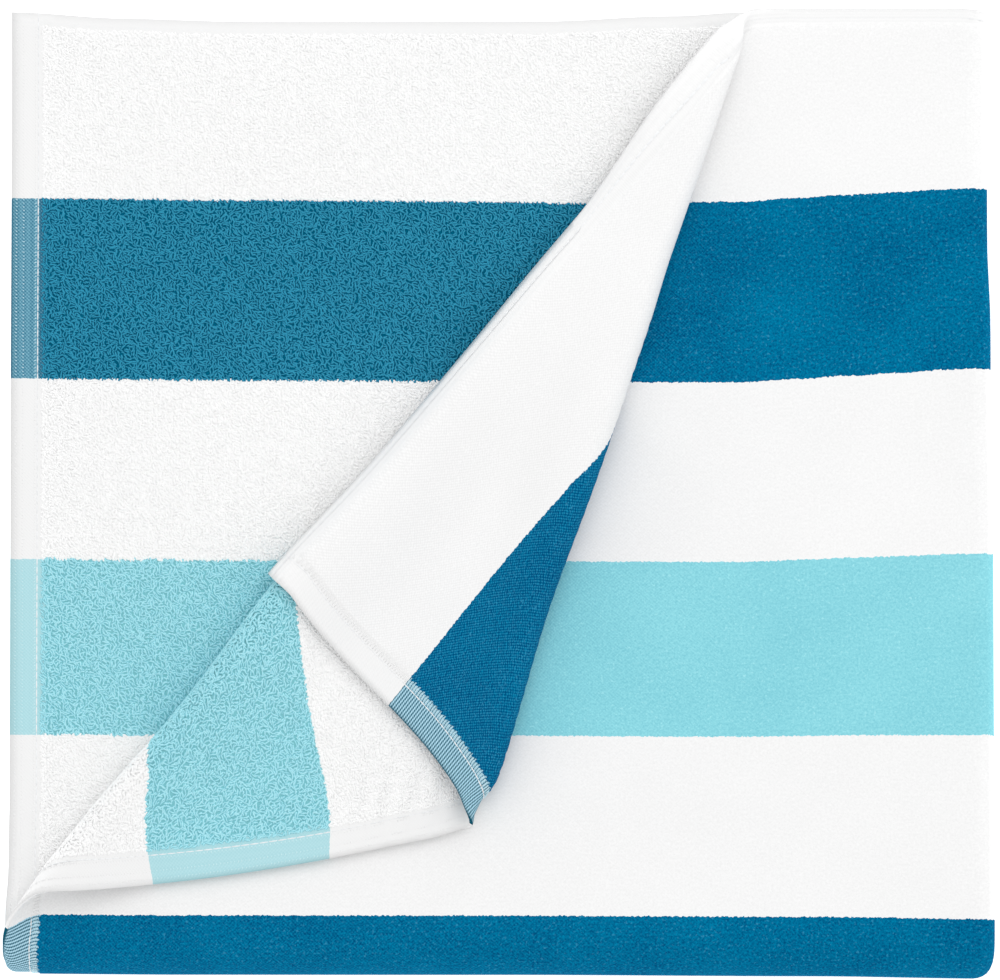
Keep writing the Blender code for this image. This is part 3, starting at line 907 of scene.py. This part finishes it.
def velour():
    """Sheared pile: fine speckle, soft cloudy patches, rows both ways that show as dots, paler tufts, and
    painted highlights on the dots.
    """
    n = Nodes("velour_pile")
    vector, u, v = n.place()
    speckle = n.noise(vector, scale=1050, detail=2, roughness=0.75)
    stretched = n.node("ShaderNodeCombineXYZ", X=n.product(u, 0.45), Y=v).outputs[0]
    rows = n.noise(stretched, scale=700, detail=2, roughness=0.6)
    height = n.total((speckle, 0.8), (rows, 0.2))
    cloud = n.noise(vector, scale=28, detail=3, roughness=0.55)
    shaken_u, shaken_v = [n.jittered(vector, place, scale=320, amount=1.8 * MM) for place in (u, v)]
    dots = n.product(n.wave((shaken_v, RIB_PITCH)), n.wave((shaken_u, PILE_ROW)))
    # Where the rows show, the pile darkens a little and the dots get painted highlights
    weave_and_highlight_share = n.product(n.stretch(u, *WEAVE_SHOWS_ALONG), n.span(n.stretch(v, *WEAVE_SHOWS_ACROSS), 0.2, 1))
    weave = n.total((n.product(dots, n.span(weave_and_highlight_share, 0.02, 0.13)), 1), (weave_and_highlight_share, -0.04))
    grain = n.stretch(n.total((height, 0.82), (cloud, 0.18), (weave, 1)), low=0.37, high=0.63)
    thick = n.stretch(n.noise(vector, scale=120, detail=2, roughness=0.6), low=0.35, high=0.65)
    pale = n.stretch(n.noise(vector, scale=850, detail=1, roughness=0.5), low=0.60, high=0.72)
    tufts = n.product(pale, n.span(thick, 0.25, 0.85))
    # Painted highlights: a lighter colour on the rows' dots where they show
    painted_highlight = n.product(n.stretch(dots, low=0.1, high=1.0), n.product(weave_and_highlight_share, n.span(thick, 0.5, 0.9)))
    tufts_and_highlights = n.math("MAXIMUM", tufts, painted_highlight)
    edge = n.jittered(vector, v, scale=900, amount=1.6 * MM)
    colour = n.mix(tufts_and_highlights, n.grained(edge, grain, VELOUR_GRAIN), n.stripes(edge, TUFT_AND_HIGHLIGHT_COLOURS))
    return n.finish(colour, height, distance=0.25 * MM, strength=0.22, roughness=0.95, sheen=0.01)


def terry_ground():
    """The woven ground between the loops, coloured darker as painted shade of the pile."""
    n = Nodes("terry_ground")
    vector, _, v = n.place()
    grain = n.noise(vector, scale=1100, detail=2, roughness=0.6)
    colour = n.grained(n.jittered(vector, v, scale=500, amount=2.4 * MM), grain, GROUND_TONE_AND_SHADE)
    return n.finish(colour, grain, distance=0.3 * MM, strength=0.5, roughness=0.95, sheen=0.0)


def terry_yarn():
    """Loops of yarn: painted light along the top of each, painted shade down its flanks, and each with its
    own tone.
    """
    n = Nodes("terry_yarn")
    vector, _, v = n.place()
    own = n.node("ShaderNodeTexWhiteNoise", {"noise_dimensions": "2D"}, Vector=vector).outputs[0]
    on_loop = n.node("ShaderNodeUVMap", {"uv_map": "yarn"}).outputs[0]
    # Painted shading: light along each loop's top, dark down its flanks
    painted_ridge_shading = n.node("ShaderNodeSeparateXYZ", _0=on_loop).outputs[1]
    fibre = n.fibre(scale=3000)
    grain = n.stretch(n.total((painted_ridge_shading, 0.72), (own, 0.24), (fibre, 0.1)), low=0.15, high=0.85)
    colour = n.grained(v, grain, LOOP_TONE_AND_SHADING)
    return n.finish(colour, fibre, distance=0.1 * MM, strength=0.3, roughness=0.95, sheen=0.01)


def hem_weave(name, table, weave, strength):
    """A flat woven hem: light threads over a darker ground, with painted shade darkest at the very edge."""
    n = Nodes(name)
    vector, u, v = n.place()
    threads = weave(n, u, v)
    fuzz = n.math("SUBTRACT", n.noise(vector, scale=1400, detail=2, roughness=0.6), 0.5)
    height = n.math("ADD", n.total((threads, 0.55), (fuzz, 0.7)), 0.5)
    # Painted shade: the hem darkens over its last EDGE_SHADE at the towel's ends
    edge = n.math("DIVIDE", n.inwards(u, LENGTH), EDGE_SHADE, clamp=True)
    colour = n.grained(n.jittered(vector, v, scale=900, amount=0.8 * MM), n.product(height, edge), table)
    return n.finish(colour, height, distance=0.2 * MM, strength=strength, roughness=0.85, sheen=0.0)


def ribs(n, u, v):
    """Ribs along the length, beaten up in beads."""
    rib = n.wave((v, RIB_PITCH))
    beads = n.wave((u, BEAD_PITCH), (v, 2 * RIB_PITCH))
    return n.total((rib, 0.8), (beads, 0.35))


def twill(n, u, v):
    """A diagonal twill with faint bands along the edge, and painted shade beside the loops."""
    slant = n.wave((u, RIB_PITCH), (v, RIB_PITCH))
    counter = n.wave((u, -RIB_PITCH), (v, RIB_PITCH))
    bands = n.wave((u, BAND_PITCH))
    # Painted shade: the hem darkens beside the loops, past the seam
    painted_shade = n.math("GREATER_THAN", n.inwards(u, LENGTH), SEAM + SHADE_START)
    return n.total((slant, 0.45), (counter, 0.3), (bands, 0.15), (painted_shade, -0.8))


def float_yarn():
    """Weft floats: pale where they cross the coloured stripes."""
    n = Nodes("float_yarn")
    _, _, v = n.place()
    fibre = n.fibre(scale=2000)
    colour = n.grained(v, n.stretch(fibre, low=0.3, high=0.7), FLOAT_GRAIN)
    return n.finish(colour, fibre, distance=0.1 * MM, strength=0.3, roughness=0.9, sheen=0.0)


def thread():
    """White sewing thread, twisted."""
    n = Nodes("sewing_thread")
    twist = n.fibre(scale=2500)
    colour = n.brighten(THREAD_COLOUR, n.span(twist, low=0.95, high=1.05))
    return n.finish(colour, twist, distance=0.1 * MM, strength=0.3, roughness=0.8, sheen=0.0)


# Surroundings

def build_floor(box):
    """A plain pale floor."""
    mesh = bpy.data.meshes.new("floor")
    level = box[0][2] - FLOOR_GAP
    signs = ((-1, -1), (1, -1), (1, 1), (-1, 1))
    mesh.from_pydata([(FLOOR_SIZE * x, FLOOR_SIZE * y, level) for x, y in signs], [], [(0, 1, 2, 3)])
    floor = bpy.data.objects.new("floor", mesh)
    bpy.context.scene.collection.objects.link(floor)
    n = Nodes("floor_paint")
    vector = n.node("ShaderNodeTexCoord").outputs["Object"]
    tone = n.span(n.noise(vector, scale=3, detail=2, roughness=0.5), low=0.985, high=1.0)
    n.feed(n.shader.inputs["Base Color"], n.brighten(FLOOR_COLOUR, tone))
    n.shader.inputs["Roughness"].default_value = 0.9
    n.shader.inputs["Emission Color"].default_value = (1, 1, 1, 1)
    n.shader.inputs["Emission Strength"].default_value = FLOOR_GLOW
    mesh.materials.append(n.material)


def build_light():
    """An even white studio: a bright surround and one large soft lamp from behind."""
    world = bpy.data.worlds.new("studio")
    bpy.context.scene.world = world
    world.use_nodes = True
    background = world.node_tree.nodes["Background"]
    background.inputs["Color"].default_value = (1, 1, 1, 1)
    background.inputs["Strength"].default_value = SURROUND
    lamp = bpy.data.lights.new("softbox", "AREA")
    lamp.size = SOFTBOX_SIZE
    lamp.energy = SOFTBOX_POWER
    softbox = bpy.data.objects.new("softbox", lamp)
    softbox.location = SOFTBOX_PLACE
    towards_towel = -softbox.location
    softbox.rotation_euler = towards_towel.to_track_quat("-Z", "Y").to_euler()
    bpy.context.scene.collection.objects.link(softbox)
    bpy.context.scene.view_settings.view_transform = "Standard"


def build_camera(shift):
    """Straight above the towel, from far enough that its folds keep their true outline."""
    camera = bpy.data.cameras.new("camera")
    camera.lens = LENS
    camera.sensor_width = SENSOR
    camera.clip_end = VIEW_RANGE
    above = bpy.data.objects.new("camera", camera)
    height = VIEW_LEVEL + VIEW_WIDTH * LENS / SENSOR
    above.location = (shift[0], VIEW_CENTRE + shift[1], height)
    bpy.context.scene.collection.objects.link(above)
    bpy.context.scene.camera = above


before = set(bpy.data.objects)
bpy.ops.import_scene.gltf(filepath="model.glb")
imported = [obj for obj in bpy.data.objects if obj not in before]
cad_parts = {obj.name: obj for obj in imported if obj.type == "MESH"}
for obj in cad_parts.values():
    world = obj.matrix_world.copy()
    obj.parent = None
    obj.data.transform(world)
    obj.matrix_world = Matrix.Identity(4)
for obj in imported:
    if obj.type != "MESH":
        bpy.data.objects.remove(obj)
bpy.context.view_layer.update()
towel_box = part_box("towel")
surfaces = [
    velour(), terry_ground(),
    hem_weave("hem_ribs", RIB_GRAIN, ribs, 0.35),
    hem_weave("hem_twill", TWILL_GRAIN, twill, 0.2),
]
cloth, shift = build_cloth(surfaces, towel_box)
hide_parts("towel")
trimmings = build_loops(terry_yarn(), shift)
trimmings += build_seams(thread(), shift)
trimmings += build_floats(float_yarn(), shift)
build_floor(towel_box)
build_light()
build_camera(shift)
